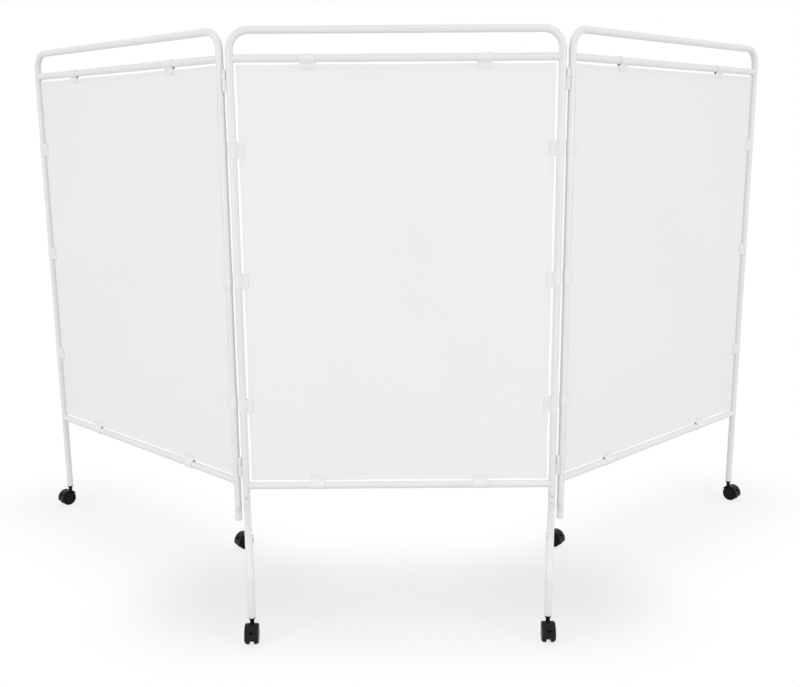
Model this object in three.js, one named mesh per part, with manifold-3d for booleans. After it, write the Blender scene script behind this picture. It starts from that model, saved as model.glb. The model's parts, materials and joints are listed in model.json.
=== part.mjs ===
// A ward privacy screen on wheels: a centre frame on two arched feet and two hinged wings.
// Each of the three welded tube frames carries a stretched sheet, and six twin-wheel casters carry the whole.
// Millimetres, +Z up. The floor is z = 0, the centre frame lies across X, and the wings fold back to +Y.
// The origin is on the floor under the middle of the screen's bounding box.
import * as THREE from 'three';
import { mergeVertices } from 'three/addons/utils/BufferGeometryUtils.js';
import Module from 'manifold-3d';

const wasm = await Module();
wasm.setup();

// Tube frames
const tube_diameter = 22;
const tube_wall = 1.5;
const centre_spacing = 940;
const wing_spacing = 1065;
const top_bar_height = 1676;
const grip_drop = 77;
const lower_bar_height = 333;
const wing_bar_rise = 12;
const corner_bend = 55;
const wing_stile_end = 221;

// Fits between pieces
const fit_clearance = 0.3;
const running_clearance = 1;
const cut_overrun = 5;

// Hinges between the centre frame and a wing
const hinge_gap = 12;
const wing_fold_degrees = 43.4;
const upper_hinge_drop = 56;
const lower_hinge_rise = 66;
const sleeve_length = 35;
const pin_diameter = 4.8;
const pin_engagement = 31;
const lug_length = 27;
const lug_nose_length = 7;
const lug_nose_diameter = 4;

// Arched feet under the centre frame
const foot_crown_height = 264;
const foot_bend = 100;
const foot_front_reach = 348;
const foot_rear_reach = 313;
const foot_toe_degrees = 9.5;
const spigot_length = 46;
const bolt_rise = 22;
const bolt_diameter = 6;
const bolt_head_diameter = 10;
const bolt_head_height = 3;
const bolt_length = 16;

// End plug of a wing's short stile
const cap_height = 5;
const cap_nose_diameter = 12;
const cap_insert_length = 20;

// Sheets and the loops that hold them
const sheet_gap = 6;
const sheet_thickness = 1.2;
const hem_width = 10;
const hem_thickness = 2;
const loop_width = 44;
const loop_thickness = 0.8;
const loop_overlap = 14;
const side_loop_drop = 253;
const top_loop_place_share = 0.234;

// Casters
const tube_end_height = 72;
const wheel_diameter = 55;
const wheel_width = 12;
const wheel_trail = 15;
const tread_edge = 1.5;
const shoulder_width = 3.5;
const shoulder_drop = 4;
const groove_diameter = 42;
const groove_width = 1.4;
const groove_depth = 1.2;
const axle_diameter = 6;
const axle_cover = 3;
const web_width = 12;
const web_gap = 0.5;
const hood_thickness = 2.5;
const hood_front_degrees = 152;
const hood_rear_degrees = -12;
const hub_diameter = 18;
const stem_diameter = 8;
const stem_depth = 26;
const stem_in_plug = 24;
const neck_diameter = 12;
const neck_height = 6;
const collar_height = 6;
const plug_insert_length = 30;
const lever_degrees = 38;
const lever_width = 7;
const lever_thickness = 3.6;
const lever_reach = 8;
const lever_pivot_depth = 9;
const lever_travel = 3.4;

// The lever's tab from its root to its lip, as shares of its reach and of its half thickness
const lever_tab_shares = [[0, -1], [0.6, -0.4], [1, 1.5], [0.5, 1]];

// Heading of each caster, as the compass angle in degrees that its wheels trail towards
const front_heading_degrees = -88;
const rear_heading_degrees = 220;
const wing_heading_degrees = 229;

// Facet counts
const tube_sides = 14;
const bend_steps = 5;
const loop_sides = 10;
const wheel_sides = 18;
const turned_sides = 12;
const hood_steps = 8;
const lever_steps = 2;

// Colours and finishes
const white_coat = { color: 0xe9ebec, roughness: 0.38, metalness: 0 };
const white_sheet = { color: 0xf1f2f2, roughness: 0.85, metalness: 0 };
const black_plastic = { color: 0x18191a, roughness: 0.42, metalness: 0 };
const black_tread = { color: 0x111213, roughness: 0.55, metalness: 0 };
const bright_steel = { color: 0xb9bcbf, roughness: 0.3, metalness: 1 };
const white_plastic = { color: 0xdfe1e2, roughness: 0.5, metalness: 0 };

// Sizes that follow from the ones above
const tube_radius = tube_diameter / 2;
const upper_bar_height = top_bar_height - grip_drop;
const wing_lower_bar_height = lower_bar_height + wing_bar_rise;
const upper_hinge_height = upper_bar_height - upper_hinge_drop;
const lower_hinge_height = lower_bar_height + lower_hinge_rise;
const bolt_height = foot_crown_height + tube_radius + bolt_rise;
const bore_radius = tube_radius - tube_wall;
const bore_flat = bore_radius * Math.cos(Math.PI / tube_sides);
const stile_pitch = tube_diameter + hinge_gap;
const hinge_offset = stile_pitch / 2;
const hinge_radius = hinge_gap / 2 - fit_clearance;
const wheel_radius = wheel_diameter / 2;
const axle_height = wheel_radius * Math.cos(Math.PI / wheel_sides);
const hood_inner = wheel_radius + running_clearance;
const hood_outer = hood_inner + hood_thickness;
const caster_width = web_width + 2 * (web_gap + wheel_width);
const neck_top = tube_end_height - collar_height - fit_clearance;
const degree = Math.PI / 180;

// A route of straight runs and round bends, with a station only where its direction changes
class BentRoute extends THREE.Curve {
  constructor(corners, bend) {
    super();
    this.stations = [];
    const last = corners.length - 1;
    let heading = corners[1].clone().sub(corners[0]).normalize();
    this.addStation(corners[0], heading);
    for (let i = 1; i < last; i += 1) {
      const next = corners[i + 1].clone().sub(corners[i]).normalize();
      this.addBend(corners[i], heading, next, bend);
      heading = next;
    }
    this.addStation(corners[last], heading);
  }

  addStation(point, direction) {
    this.stations.push({ point: point.clone(), direction: direction.clone() });
  }

  addBend(corner, heading, next, bend) {
    const turn = heading.angleTo(next);
    const inward = next.clone().addScaledVector(heading, -Math.cos(turn)).normalize();
    const centre = corner.clone().addScaledVector(heading, -bend * Math.tan(turn / 2));
    centre.addScaledVector(inward, bend);
    for (let k = 0; k <= bend_steps; k += 1) {
      const angle = (turn * k) / bend_steps;
      const point = centre.clone().addScaledVector(inward, -bend * Math.cos(angle));
      point.addScaledVector(heading, bend * Math.sin(angle));
      const direction = heading.clone().multiplyScalar(Math.cos(angle));
      direction.addScaledVector(inward, Math.sin(angle));
      this.addStation(point, direction);
    }
  }

  getPointAt(share) {
    return this.stations[Math.round(share * (this.stations.length - 1))].point.clone();
  }

  getTangentAt(share) {
    return this.stations[Math.round(share * (this.stations.length - 1))].direction.clone();
  }
}

// Turn a three.js geometry into a solid that can be joined and cut
function solid(geometry) {
  geometry.deleteAttribute('normal');
  geometry.deleteAttribute('uv');
  const welded = mergeVertices(geometry);
  const index = welded.index.array;
  const triangles = [];
  for (let i = 0; i < index.length; i += 3) {
    const [a, b, c] = [index[i], index[i + 1], index[i + 2]];
    if (a !== b && b !== c && c !== a) {
      triangles.push(a, b, c);
    }
  }
  return new wasm.Manifold(new wasm.Mesh({
    numProp: 3,
    vertProperties: new Float32Array(welded.attributes.position.array),
    triVerts: new Uint32Array(triangles),
  }));
}

// Turn a solid back into a flat-shaded three.js geometry
function facets(body) {
  const mesh = body.getMesh();
  const geometry = new THREE.BufferGeometry();
  geometry.setAttribute('position', new THREE.BufferAttribute(mesh.vertProperties, 3));
  geometry.setIndex(new THREE.BufferAttribute(mesh.triVerts, 1));
  const flat = geometry.toNonIndexed();
  flat.computeVertexNormals();
  return flat;
}

// A round bar that follows a route of corners
function bar(corners, radius, bend = 0, sides = tube_sides) {
  const section = new THREE.Shape();
  section.absarc(0, 0, radius, 0, 2 * Math.PI);
  const route = new BentRoute(corners, bend);
  const steps = route.stations.length - 1;
  return solid(new THREE.ExtrudeGeometry(section, { steps, curveSegments: sides / 2, extrudePath: route }));
}

// A block given by its lowest and highest corners
function block(low, high) {
  const size = high.clone().sub(low);
  const middle = high.clone().add(low).multiplyScalar(1 / 2);
  const geometry = new THREE.BoxGeometry(size.x, size.y, size.z);
  geometry.translate(middle.x, middle.y, middle.z);
  return solid(geometry);
}

// A turned piece about the Z axis, from a profile of radius and height pairs that starts at the bottom
function turned(profile, sides = turned_sides) {
  const geometry = new THREE.LatheGeometry(profile.map(([r, z]) => new THREE.Vector2(r, z)), sides);
  geometry.rotateX(Math.PI / 2);
  return geometry;
}

// A plate of an outline in the XZ plane, centred on y = 0
function plate(outline, width, steps = hood_steps) {
  const settings = { depth: width, bevelEnabled: false, curveSegments: steps };
  const geometry = new THREE.ExtrudeGeometry(outline, settings);
  geometry.rotateX(Math.PI / 2);
  geometry.translate(0, width / 2, 0);
  return geometry;
}

function at(x, y, z) {
  return new THREE.Vector3(x, y, z);
}

// Put a finished piece in its group under its own name
function place(group, name, geometry, finish) {
  const mesh = new THREE.Mesh(geometry, new THREE.MeshStandardMaterial(finish));
  mesh.name = name;
  group.add(mesh);
  return mesh;
}

// The tubes of one frame: a bent upper tube and two cross tubes, with the bores joined inside
function frameTubes(left, right, leftEnd, rightEnd, lowerBarHeight) {
  const loop = [at(left, 0, leftEnd), at(left, 0, top_bar_height), at(right, 0, top_bar_height),
    at(right, 0, rightEnd)];
  const boreLoop = [at(left, 0, leftEnd - cut_overrun), loop[1], loop[2],
    at(right, 0, rightEnd - cut_overrun)];
  let outside = bar(loop, tube_radius, corner_bend);
  let inside = bar(boreLoop, bore_radius, corner_bend);
  for (const height of [upper_bar_height, lowerBarHeight]) {
    const ends = [at(left, 0, height), at(right, 0, height)];
    outside = outside.add(bar(ends, tube_radius));
    inside = inside.add(bar(ends, bore_radius));
  }
  return { outside, inside };
}

// The hinge sleeve that is welded to a centre stile, and its bore
function hingeSleeve(side, top) {
  const stile = (side * centre_spacing) / 2;
  const axis = stile + side * hinge_offset;
  const bottom = top - sleeve_length;
  const sleeve = bar([at(axis, 0, bottom), at(axis, 0, top)], hinge_radius, 0, turned_sides);
  const weldHalf = hinge_radius / 2;
  const weld = block(at(Math.min(stile, axis), -weldHalf, bottom), at(Math.max(stile, axis), weldHalf, top));
  const boreRadius = (pin_diameter / 2 + fit_clearance) / Math.cos(Math.PI / turned_sides);
  const boreEnds = [at(axis, 0, bottom - cut_overrun), at(axis, 0, top + cut_overrun)];
  const bore = bar(boreEnds, boreRadius, 0, turned_sides);
  return { body: sleeve.add(weld), bore };
}

function centreFrame() {
  const half = centre_spacing / 2;
  const stileEnd = foot_crown_height + tube_radius + fit_clearance;
  const tubes = frameTubes(-half, half, stileEnd, stileEnd, lower_bar_height);
  let outside = tubes.outside;
  let inside = tubes.inside;
  for (const side of [-1, 1]) {
    for (const top of [upper_hinge_height, lower_hinge_height]) {
      const sleeve = hingeSleeve(side, top);
      outside = outside.add(sleeve.body);
      inside = inside.add(sleeve.bore);
    }
    const hole = [at(side * half, -tube_diameter, bolt_height), at(side * half, 0, bolt_height)];
    inside = inside.add(bar(hole, bolt_diameter / 2 + fit_clearance, 0, turned_sides));
  }
  return facets(outside.subtract(inside));
}

function wingFrame(side) {
  const inner = side * hinge_offset;
  const outer = side * (hinge_offset + wing_spacing);
  const left = Math.min(inner, outer);
  const right = Math.max(inner, outer);
  const leftEnd = side > 0 ? wing_stile_end : tube_end_height;
  const rightEnd = side > 0 ? tube_end_height : wing_stile_end;
  const tubes = frameTubes(left, right, leftEnd, rightEnd, wing_lower_bar_height);
  return facets(tubes.outside.subtract(tubes.inside));
}

// The pin half of a hinge: a bullet-nosed lug on the wing with a pin that drops into the sleeve
function hingePin(top) {
  const foot = top + fit_clearance;
  return turned([
    [0, top - pin_engagement],
    [pin_diameter / 2, top - pin_engagement],
    [pin_diameter / 2, foot],
    [hinge_radius, foot],
    [hinge_radius, foot + lug_length - lug_nose_length],
    [lug_nose_diameter / 2, foot + lug_length],
    [0, foot + lug_length],
  ]);
}

// The grey plug that closes the lower end of a wing's short stile
function stileCap() {
  const insertRadius = bore_flat - fit_clearance;
  const seat = wing_stile_end - fit_clearance;
  return turned([
    [0, seat - cap_height],
    [cap_nose_diameter / 2, seat - cap_height],
    [tube_radius, seat - cap_height / 2],
    [tube_radius, seat],
    [insertRadius, seat],
    [insertRadius, seat + cap_insert_length],
    [0, seat + cap_insert_length],
  ], tube_sides);
}

// Direction of a foot's front end as seen from the stile, toed in towards the middle of the screen
function footDirection(side) {
  return at(-side * Math.sin(foot_toe_degrees * degree), -Math.cos(foot_toe_degrees * degree), 0);
}

// An arched foot: a bent tube with a caster socket at each end and a spigot that enters the stile
function archedFoot(side) {
  const forward = footDirection(side);
  const front = forward.clone().multiplyScalar(foot_front_reach);
  const rear = forward.clone().multiplyScalar(-foot_rear_reach);
  const route = (end) => [at(front.x, front.y, end), at(front.x, front.y, foot_crown_height),
    at(rear.x, rear.y, foot_crown_height), at(rear.x, rear.y, end)];
  const arch = bar(route(tube_end_height), tube_radius, foot_bend);
  const bore = bar(route(tube_end_height - cut_overrun), bore_radius, foot_bend);
  const spigotTop = foot_crown_height + tube_radius + spigot_length;
  const spigotEnds = [at(0, 0, foot_crown_height + bore_flat), at(0, 0, spigotTop)];
  const spigot = bar(spigotEnds, bore_flat - fit_clearance);
  const boltTip = bolt_length - tube_radius;
  const tapped = bar([at(0, -tube_diameter, bolt_height), at(0, boltTip, bolt_height)],
    bolt_diameter / 2 + fit_clearance, 0, turned_sides);
  return facets(arch.subtract(bore).add(spigot).subtract(tapped));
}

// The domed bolt that locks a stile on its foot's spigot
function footBolt() {
  const geometry = turned([
    [0, 0],
    [bolt_diameter / 2, 0],
    [bolt_diameter / 2, bolt_length],
    [bolt_head_diameter / 2, bolt_length],
    [bolt_head_diameter / 2 - bolt_head_height / 2, bolt_length + bolt_head_height],
    [0, bolt_length + bolt_head_height],
  ]);
  geometry.rotateX(Math.PI / 2);
  geometry.translate(0, bolt_length - tube_radius - fit_clearance, bolt_height);
  return geometry;
}

// One loop round a tube and its tongue, standing across the sheet's plane; the tongue points to -Z
function sheetLoop() {
  const inner = (tube_radius + fit_clearance) / Math.cos(Math.PI / loop_sides);
  const ends = [at(-loop_width / 2, 0, 0), at(loop_width / 2, 0, 0)];
  const boreEnds = [at(-loop_width, 0, 0), at(loop_width, 0, 0)];
  const ring = bar(ends, inner + loop_thickness, 0, loop_sides);
  const bore = bar(boreEnds, inner, 0, loop_sides);
  const reach = tube_radius + sheet_gap + loop_overlap;
  const tongue = block(at(-loop_width / 2, -loop_thickness, -reach), at(loop_width / 2, loop_thickness, 0));
  return ring.add(tongue).subtract(bore);
}

// A hemmed sheet between the tubes of a frame, held by two loops above, two below and three on each side
function sheet(left, right, lowerBarHeight) {
  const low = lowerBarHeight + tube_radius + sheet_gap;
  const high = upper_bar_height - tube_radius - sheet_gap;
  const start = left + tube_radius + sheet_gap;
  const end = right - tube_radius - sheet_gap;
  const half = sheet_thickness / 2;
  const hemHalf = hem_thickness / 2;
  const rim = block(at(start, -hemHalf, low), at(end, hemHalf, high));
  const recess = (near, far) => block(at(start + hem_width, Math.min(near, far), low + hem_width),
    at(end - hem_width, Math.max(near, far), high - hem_width));
  let body = rim.subtract(recess(half, hem_thickness)).subtract(recess(-half, -hem_thickness));
  const loop = sheetLoop();
  const spacing = right - left;
  for (const x of [left + spacing * top_loop_place_share, right - spacing * top_loop_place_share]) {
    body = body.add(loop.translate([x, 0, upper_bar_height]));
    body = body.add(loop.rotate([180, 0, 0]).translate([x, 0, lowerBarHeight]));
  }
  const middle = (upper_bar_height + lowerBarHeight) / 2;
  for (const z of [upper_bar_height - side_loop_drop, middle, lowerBarHeight + side_loop_drop]) {
    body = body.add(loop.rotate([0, -90, 0]).translate([left, 0, z]));
    body = body.add(loop.rotate([0, 90, 0]).translate([right, 0, z]));
  }
  return facets(body);
}

// A caster's wheel about the Y axis, its hub side at y = 0 and its closed face at y = wheel_width
function wheel(side) {
  const bore = (axle_diameter / 2 + fit_clearance) / Math.cos(Math.PI / wheel_sides);
  const grooveOuter = groove_diameter / 2 + groove_width;
  const floor = wheel_width - axle_cover;
  const geometry = turned([
    [0, floor],
    [bore, floor],
    [bore, 0],
    [wheel_radius - tread_edge, 0],
    [wheel_radius, tread_edge],
    [wheel_radius, wheel_width - shoulder_width],
    [wheel_radius - shoulder_drop, wheel_width],
    [grooveOuter, wheel_width],
    [grooveOuter - groove_width / 2, wheel_width - groove_depth],
    [groove_diameter / 2, wheel_width],
    [0, wheel_width],
  ], wheel_sides);
  geometry.rotateZ(Math.PI / wheel_sides);
  geometry.rotateX((-side * Math.PI) / 2);
  geometry.translate(wheel_trail, side * (web_width / 2 + web_gap), axle_height);
  return geometry;
}

// The hood between and over the wheels: a curved shell, a web with the axle hole, and the stem's neck
function hood() {
  const from = hood_rear_degrees * degree;
  const to = hood_front_degrees * degree;
  const shellOutline = new THREE.Shape();
  shellOutline.absarc(0, 0, hood_outer, from, to, false);
  shellOutline.absarc(0, 0, hood_inner, to, from, true);
  const webOutline = new THREE.Shape();
  webOutline.moveTo(0, 0);
  webOutline.absarc(0, 0, hood_inner + hood_thickness / 2, from, to, false);
  const shell = plate(shellOutline, caster_width);
  const web = plate(webOutline, web_width);
  shell.translate(wheel_trail, 0, axle_height);
  web.translate(wheel_trail, 0, axle_height);
  const hub = bar([at(wheel_trail, -web_width / 2, axle_height), at(wheel_trail, web_width / 2, axle_height)],
    hub_diameter / 2, 0, turned_sides);
  const neck = bar([at(0, 0, neck_top - neck_height - stem_depth), at(0, 0, neck_top)], neck_diameter / 2, 0,
    turned_sides);
  const axleHole = bar([at(wheel_trail, -web_width, axle_height), at(wheel_trail, web_width, axle_height)],
    axle_diameter / 2 + fit_clearance, 0, turned_sides);
  const stemHole = bar([at(0, 0, neck_top - stem_depth - fit_clearance), at(0, 0, neck_top + cut_overrun)],
    stem_diameter / 2 + fit_clearance, 0, turned_sides);
  const body = solid(shell).add(solid(web)).add(hub).add(neck);
  return facets(body.subtract(axleHole).subtract(stemHole).subtract(leverPocket()));
}

// Place something that is drawn along +X from the axle at the brake lever's angle
function leverPlace(geometry) {
  geometry.rotateY(-lever_degrees * degree);
  geometry.translate(wheel_trail, 0, axle_height);
  return geometry;
}

// The slot in the hood and web in which the brake lever moves
function leverPocket() {
  const start = hood_outer - lever_pivot_depth - lever_thickness / 2 - fit_clearance;
  const side = lever_thickness / 2 + fit_clearance;
  const outline = new THREE.Shape();
  outline.moveTo(start, side);
  outline.lineTo(hood_outer + lever_reach, side);
  outline.lineTo(hood_outer + lever_reach, -side - lever_travel);
  outline.lineTo(start, -side - lever_travel);
  return solid(leverPlace(plate(outline, lever_width + 2 * fit_clearance)));
}

// The brake lever: a round pivot end and a tapered tab that ends in a pointed lip
function brakeLever() {
  const pivot = hood_outer - lever_pivot_depth;
  const half = lever_thickness / 2;
  const outline = new THREE.Shape();
  outline.absarc(pivot, 0, half, Math.PI / 2, 1.5 * Math.PI, false);
  for (const [reachShare, thicknessShare] of lever_tab_shares) {
    outline.lineTo(hood_outer + lever_reach * reachShare, half * thicknessShare);
  }
  return leverPlace(plate(outline, lever_width, lever_steps));
}

// The black plug in a tube's end: a flared collar below and a bored insert above
function casterPlug() {
  const collarFoot = tube_end_height - collar_height;
  const seat = tube_end_height - fit_clearance;
  const boreRadius = (stem_diameter / 2 + fit_clearance) / Math.cos(Math.PI / turned_sides);
  const insertRadius = bore_flat - fit_clearance;
  const outer = turned([
    [0, collarFoot],
    [neck_diameter / 2, collarFoot],
    [tube_radius, seat - tube_wall],
    [tube_radius, seat],
    [insertRadius, seat],
    [insertRadius, seat + plug_insert_length],
    [0, seat + plug_insert_length],
  ], tube_sides);
  const holeEnds = [at(0, 0, collarFoot - cut_overrun), at(0, 0, seat + stem_in_plug + fit_clearance)];
  const hole = bar(holeEnds, boreRadius, 0, turned_sides);
  return facets(solid(outer).subtract(hole));
}

function casterStem() {
  const bottom = neck_top - stem_depth;
  const top = tube_end_height - fit_clearance + stem_in_plug;
  return facets(bar([at(0, 0, bottom), at(0, 0, top)], stem_diameter / 2, 0, turned_sides));
}

function casterAxle() {
  const half = caster_width / 2 - axle_cover - fit_clearance;
  const ends = [at(wheel_trail, -half, axle_height), at(wheel_trail, half, axle_height)];
  return facets(bar(ends, axle_diameter / 2, 0, turned_sides));
}

// One twin-wheel caster on the tube end at the group's origin, its wheels trailing at a heading
function addCaster(group, name, x, y, heading) {
  const fixed = new THREE.Group();
  fixed.position.set(x, y, 0);
  group.add(fixed);
  place(fixed, `${name}_plug`, casterPlug(), black_plastic);
  const turning = new THREE.Group();
  turning.rotation.z = heading;
  fixed.add(turning);
  place(turning, `${name}_stem`, casterStem(), bright_steel);
  place(turning, `${name}_hood`, hood(), black_plastic);
  place(turning, `${name}_axle`, casterAxle(), bright_steel);
  place(turning, `${name}_brake_lever`, brakeLever(), black_plastic);
  place(turning, `${name}_wheel_a`, wheel(-1), black_tread);
  place(turning, `${name}_wheel_b`, wheel(1), black_tread);
}

// A heading given for the left side, mirrored for the right side, in radians
function mirrored(side, headingDegrees) {
  return (side < 0 ? headingDegrees : 180 - headingDegrees) * degree;
}

// One arched foot with its bolt and its two casters, under a centre stile
function addFoot(screen, side, hand) {
  const foot = new THREE.Group();
  foot.position.x = (side * centre_spacing) / 2;
  screen.add(foot);
  place(foot, `${hand}_arched_foot`, archedFoot(side), white_coat);
  place(foot, `${hand}_foot_bolt`, footBolt(), bright_steel);
  const front = footDirection(side).multiplyScalar(foot_front_reach);
  const rear = footDirection(side).multiplyScalar(-foot_rear_reach);
  addCaster(foot, `${hand}_front_caster`, front.x, front.y, mirrored(side, front_heading_degrees));
  addCaster(foot, `${hand}_rear_caster`, rear.x, rear.y, mirrored(side, rear_heading_degrees));
}

// One wing about its hinge axis, with its sheet, hinge pins, stile cap and caster
function addWing(screen, side, hand) {
  const fold = side * wing_fold_degrees * degree;
  const wing = new THREE.Group();
  wing.position.x = side * (centre_spacing / 2 + hinge_offset);
  wing.rotation.z = fold;
  screen.add(wing);
  const inner = side * hinge_offset;
  const outer = inner + side * wing_spacing;
  place(wing, `${hand}_wing_frame`, wingFrame(side), white_coat);
  const hanging = sheet(Math.min(inner, outer), Math.max(inner, outer), wing_lower_bar_height);
  place(wing, `${hand}_wing_sheet`, hanging, white_sheet);
  place(wing, `${hand}_upper_hinge_pin`, hingePin(upper_hinge_height), white_coat);
  place(wing, `${hand}_lower_hinge_pin`, hingePin(lower_hinge_height), white_coat);
  const cap = place(wing, `${hand}_stile_cap`, stileCap(), white_plastic);
  cap.position.x = inner;
  addCaster(wing, `${hand}_wing_caster`, outer, 0, mirrored(side, wing_heading_degrees) - fold);
}

// The centre frame's plane is drawn at y = 0, and the whole screen is then moved to its own origin
const standing = new THREE.Group();
place(standing, 'centre_frame', centreFrame(), white_coat);
const centreSheet = sheet(-centre_spacing / 2, centre_spacing / 2, lower_bar_height);
place(standing, 'centre_sheet', centreSheet, white_sheet);
for (const [side, hand] of [[-1, 'left'], [1, 'right']]) {
  addFoot(standing, side, hand);
  addWing(standing, side, hand);
}
const extent = new THREE.Box3().setFromObject(standing, true);
const middle = extent.getCenter(new THREE.Vector3());
standing.position.set(-middle.x, -middle.y, -extent.min.z);

const screen = new THREE.Group();
screen.add(standing);

export default screen;
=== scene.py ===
import json
import math

import bmesh
import bpy
from mathutils import Matrix, Vector


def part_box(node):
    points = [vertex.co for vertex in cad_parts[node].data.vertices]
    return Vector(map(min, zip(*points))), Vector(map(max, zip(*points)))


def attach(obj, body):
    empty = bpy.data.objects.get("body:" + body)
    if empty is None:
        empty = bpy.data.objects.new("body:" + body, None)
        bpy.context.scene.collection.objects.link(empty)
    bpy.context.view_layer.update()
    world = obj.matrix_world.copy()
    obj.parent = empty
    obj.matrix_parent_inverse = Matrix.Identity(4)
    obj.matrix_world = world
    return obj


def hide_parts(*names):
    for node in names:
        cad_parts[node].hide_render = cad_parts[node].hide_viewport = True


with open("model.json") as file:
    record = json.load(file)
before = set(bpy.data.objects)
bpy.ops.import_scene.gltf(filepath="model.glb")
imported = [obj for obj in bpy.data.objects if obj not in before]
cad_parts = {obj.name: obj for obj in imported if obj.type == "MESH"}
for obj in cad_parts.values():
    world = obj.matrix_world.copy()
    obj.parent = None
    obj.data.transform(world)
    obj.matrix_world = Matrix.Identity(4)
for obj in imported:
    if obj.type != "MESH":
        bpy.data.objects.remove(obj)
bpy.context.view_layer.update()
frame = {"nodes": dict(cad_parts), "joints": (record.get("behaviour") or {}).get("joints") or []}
joints = {joint["name"]: joint for joint in frame["joints"]}
hands = (("left", -1), ("right", 1))
MM = 0.001


# White powder coat
# Every tube, hinge half and foot is steel with a white powder coat. The coat has a faint orange peel,
# its tint drifts a little along the tube, and it is rubbed duller in patches by hands and cloths.
coat_dark = (0.71, 0.71, 0.712, 1)
coat_light = (0.77, 0.77, 0.772, 1)
peel_depth = 0.06 * MM


class Wire:
    """A socket on which Python's operators add Math nodes."""

    def __init__(self, finish, socket):
        self.finish = finish
        self.socket = socket

    def maths(self, operation, *values):
        return self.finish.node("ShaderNodeMath", {"operation": operation}, dict(enumerate(values)))

    def __add__(self, other):
        return self.maths("ADD", self, other)

    def __sub__(self, other):
        return self.maths("SUBTRACT", self, other)

    def __rsub__(self, other):
        return self.maths("SUBTRACT", other, self)

    def __mul__(self, other):
        return self.maths("MULTIPLY", self, other)

    def __pow__(self, other):
        return self.maths("POWER", self, other)

    def __gt__(self, other):
        return self.maths("GREATER_THAN", self, other)

    def __abs__(self):
        return self.maths("ABSOLUTE", self)

    def sine(self):
        return self.maths("SINE", self)

    __radd__ = __add__
    __rmul__ = __mul__


class Finish:
    """A material whose nodes are added one by one and whose main shader takes plain values and wires."""

    def __init__(self, name, **shader_values):
        self.material = bpy.data.materials.new(name)
        self.material.use_nodes = True
        self.tree = self.material.node_tree
        self.shader = self.tree.nodes["Principled BSDF"]
        for socket, value in shader_values.items():
            self.shader.inputs[socket.replace("_", " ")].default_value = value

    def node(self, kind, settings=None, sockets=None, output=0):
        made = self.tree.nodes.new(kind)
        for name, value in (settings or {}).items():
            setattr(made, name, value)
        for name, value in (sockets or {}).items():
            self.feed(made.inputs[name], value)
        return Wire(self, made.outputs[output])

    def feed(self, socket, value):
        if isinstance(value, Wire):
            self.tree.links.new(value.socket, socket)
        else:
            socket.default_value = value

    def wear(self, colour, roughness, height, depth):
        """Feed the shader's colour and roughness, and a bump of the given depth in metres."""
        self.feed(self.shader.inputs["Base Color"], colour)
        self.feed(self.shader.inputs["Roughness"], roughness)
        bump = self.node("ShaderNodeBump", sockets={"Strength": 1.0, "Distance": depth, "Height": height})
        self.feed(self.shader.inputs["Normal"], bump)
        return self.material

    def place(self):
        return self.node("ShaderNodeTexCoord", output="Object")

    def noise(self, place, scale, detail=2.0):
        return self.node("ShaderNodeTexNoise", sockets={"Vector": place, "Scale": scale, "Detail": detail})

    def mix(self, share, first, second):
        return self.node("ShaderNodeMix", {"data_type": "RGBA"}, {0: share, 6: first, 7: second}, output=2)


def powder_coat():
    finish = Finish("white_powder_coat", Coat_Weight=0.15, Coat_Roughness=0.2)
    place = finish.place()
    drift = finish.noise(place, 5.0)
    rubbed = finish.noise(place, 38.0, 4.0) > 0.62
    peel = finish.noise(place, 430.0)
    colour = finish.mix(drift, coat_dark, coat_light)
    return finish.wear(colour, 0.33 + rubbed * 0.08 + peel * 0.06, peel, peel_depth)


coat = powder_coat()


# Tube frames
# Each of the three frames is 22 mm round tube: one length bent into the stiles and the top bar, and two
# cross tubes welded in between. A ground bead of weld runs round each end of a cross tube.
tube_radius = 11 * MM
tube_sides = 48
corner_bend = 55 * MM
bend_steps = 18
half_spacing = 470 * MM
grip_drop = 77 * MM
lower_bar_height = 333 * MM
wing_lower_bar_height = 345 * MM
wing_short_end = 221 * MM
bead_radius = 1.7 * MM
bead_steps = 40
bead_sides = 12
bead_sink_share = 0.96
centre_low, centre_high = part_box("centre_frame")
centre_plane = (centre_low.y + centre_high.y) / 2
top_bar_height = centre_high.z - tube_radius
upper_bar_height = top_bar_height - grip_drop
tube_end_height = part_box("left_wing_frame")[0].z


def joint_spot(name):
    """The place of a joint, brought down to the floor."""
    spot = Vector(joints[name]["pos_m"])
    spot.z = 0
    return spot


hinge_offset = joint_spot("right_wing_hinge").x - half_spacing
wing_outer = (joint_spot("right_wing_caster_swivel") - joint_spot("right_wing_hinge")).length


def centre_place(across, out, height):
    """A point by its distance to the right of the middle, its distance behind the sheet and its height."""
    return Vector((across, centre_plane + out, height))


def wing_place(side):
    """The same for a wing, measured outwards from its hinge axis and behind its sheet."""
    hand = "left" if side < 0 else "right"
    hinge = joint_spot(f"{hand}_wing_hinge")
    along = (joint_spot(f"{hand}_wing_caster_swivel") - hinge).normalized()
    back = Vector((-side * along.y, side * along.x, 0))

    def place(across, out, height):
        return hinge + along * across + back * out + Vector((0, 0, height))

    return place


def bent_route(corners, bend):
    """The centre line of a tube that is bent round at each inner corner."""
    points = [corners[0]]
    for before, corner, after in zip(corners, corners[1:], corners[2:]):
        arriving = (corner - before).normalized()
        leaving = (after - corner).normalized()
        turn = arriving.angle(leaving)
        inward = (leaving - arriving * math.cos(turn)).normalized()
        centre = corner - arriving * bend * math.tan(turn / 2) + inward * bend
        for step in range(bend_steps + 1):
            angle = turn * step / bend_steps
            points.append(centre - inward * bend * math.cos(angle) + arriving * bend * math.sin(angle))
    return points + [corners[-1]]


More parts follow.
